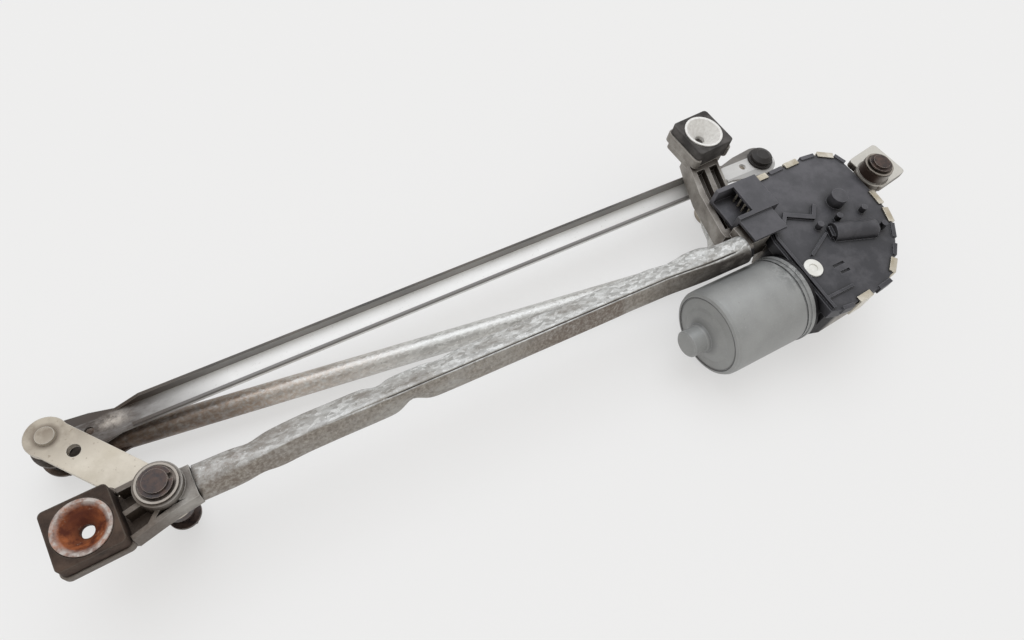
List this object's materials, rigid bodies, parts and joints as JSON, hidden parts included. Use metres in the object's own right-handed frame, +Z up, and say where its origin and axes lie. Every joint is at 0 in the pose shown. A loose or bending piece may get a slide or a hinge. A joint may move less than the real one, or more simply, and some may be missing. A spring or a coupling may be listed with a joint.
{
  "type": "wiper linkage",
  "caption": "Windscreen wiper linkage: tube frame with cast ends, worm gear motor, crank, and channel and tube links driving parallel pivot levers.",
  "frame": {"origin": "on the left pivot axis, at the end of its threaded wiper arm stud, which stands on the table", "axes": "+X from the left pivot to the right pivot, +Z up along both pivot axes, away from the wiper arm ends"},
  "size_m": [0.5823, 0.1708, 0.07],
  "materials": {
    "cast_aluminium": "as cast, dull",
    "galvanised_tube": "galvanised, mottled",
    "rubber": "matt",
    "cup_steel": "zinc plated, rust stained",
    "black_plastic": "satin",
    "clip_brass": "satin",
    "white_plastic": "satin",
    "can_paint": "satin paint",
    "ferrite": "matt",
    "sintered_bronze": "dull",
    "steel": "turned",
    "zinc_plate": "zinc plated, dull",
    "core_steel": "laminated",
    "copper": "enamelled wire",
    "dark_steel": "dark, oiled",
    "socket_plastic": "matt"
  },
  "bodies": {
    "frame": {"gear_housing": "cast_aluminium", "left_housing": "cast_aluminium", "main_tube": "galvanised_tube", "rubber_left": "rubber", "rubber_upper": "rubber", "cup_left": "cup_steel", "cup_upper": "cup_steel", "cover": "black_plastic", "cover_clips": "clip_brass", "cover_plug": "white_plastic", "terminal_pins": "clip_brass", "motor_can": "can_paint", "magnets": "ferrite", "brush_plate": "black_plastic", "left_bush": "sintered_bronze", "right_bush": "sintered_bronze", "output_bush": "sintered_bronze", "armature_bush": "sintered_bronze"},
    "crank": {"worm_wheel": "white_plastic", "output_shaft": "steel", "crank_arm": "zinc_plate", "crank_ball": "steel"},
    "armature": {"armature_shaft": "steel", "lamination": "core_steel", "winding": "copper", "commutator": "copper"},
    "left_rocker": {"left_spindle": "dark_steel", "left_lever": "zinc_plate", "left_ball_pin": "steel", "left_washer": "steel", "left_clip": "dark_steel", "left_nut": "dark_steel"},
    "right_rocker": {"right_spindle": "dark_steel", "right_lever": "zinc_plate", "right_ball_pin": "steel", "right_washer": "steel", "right_clip": "dark_steel", "right_nut": "dark_steel"},
    "channel_rod": {"channel_link": "galvanised_tube", "channel_socket_left": "socket_plastic", "channel_socket_right": "socket_plastic"},
    "tube_rod": {"tube_link": "galvanised_tube", "tube_socket_left": "socket_plastic", "tube_socket_right": "socket_plastic"}
  },
  "joints": [
    {"name": "crank_turn", "type": "hinge", "parent": "frame", "child": "crank", "pos_m": [0.452, -0.013, 0.02], "axis": [0, 0, 1], "range_deg": [-75, 0]},
    {"name": "left_pivot", "type": "hinge", "parent": "frame", "child": "left_rocker", "pos_m": [0, 0, 0.05], "axis": [0, 0, 1], "range_deg": [-75, 0]},
    {"name": "right_pivot", "type": "hinge", "parent": "frame", "child": "right_rocker", "pos_m": [0.5, 0, 0.04], "axis": [0, 0, 1], "range_deg": [-75, 0]},
    {"name": "channel_ball", "type": "hinge", "parent": "left_rocker", "child": "channel_rod", "pos_m": [-0.0444, 0.0592, 0.028], "axis": [0, 0, 1], "range_deg": [0, 75]},
    {"name": "tube_ball", "type": "hinge", "parent": "left_rocker", "child": "tube_rod", "pos_m": [-0.0444, 0.0592, 0.0135], "axis": [0, 0, 1], "range_deg": [0, 75]},
    {"name": "armature_spin", "type": "hinge", "parent": "frame", "child": "armature", "pos_m": [0.356, -0.045, 0.03], "axis": [1, 0, 0], "range_deg": [-4500, 0]}
  ],
  "couplings": [
    {"joint": "left_pivot", "follows": "crank_turn", "ratio": 1},
    {"joint": "right_pivot", "follows": "crank_turn", "ratio": 1},
    {"joint": "channel_ball", "follows": "crank_turn", "ratio": -1},
    {"joint": "tube_ball", "follows": "crank_turn", "ratio": -1},
    {"joint": "armature_spin", "follows": "crank_turn", "ratio": 60}
  ]
}
